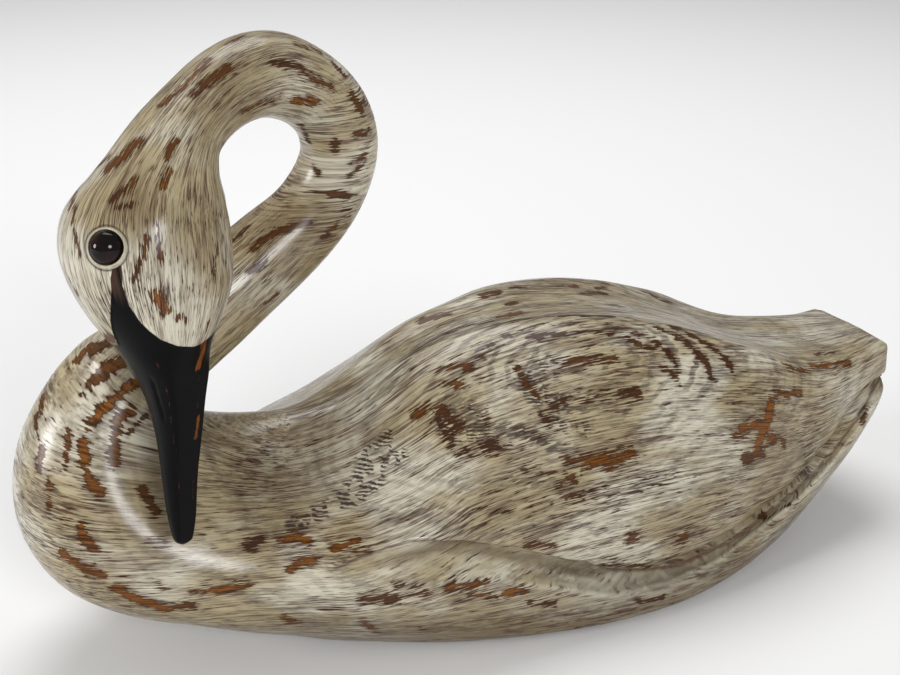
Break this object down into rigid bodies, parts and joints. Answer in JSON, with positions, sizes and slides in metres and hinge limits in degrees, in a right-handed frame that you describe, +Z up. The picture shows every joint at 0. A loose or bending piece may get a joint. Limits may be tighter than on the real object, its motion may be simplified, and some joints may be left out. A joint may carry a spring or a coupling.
{
  "type": "swan decoy",
  "caption": "Carved wooden swan decoy with folded wings, a looped neck, the head turned to its right, a worn whitewash finish and inset glass eyes.",
  "frame": {"origin": "on the underside, halfway along the swan and halfway across it", "axes": "+X from the breast to the tail, +Y to the bird's left, +Z up"},
  "size_m": [0.478, 0.183, 0.293],
  "materials": {
    "painted_wood": "distressed off-white wash over brown wood under a satin varnish, with the bill and the patch before the eyes in worn black",
    "eye_glass": "polished, near black with a brown depth"
  },
  "bodies": {
    "root": {"swan": "painted_wood", "eye_right": "eye_glass", "eye_left": "eye_glass"}
  },
  "joints": []
}
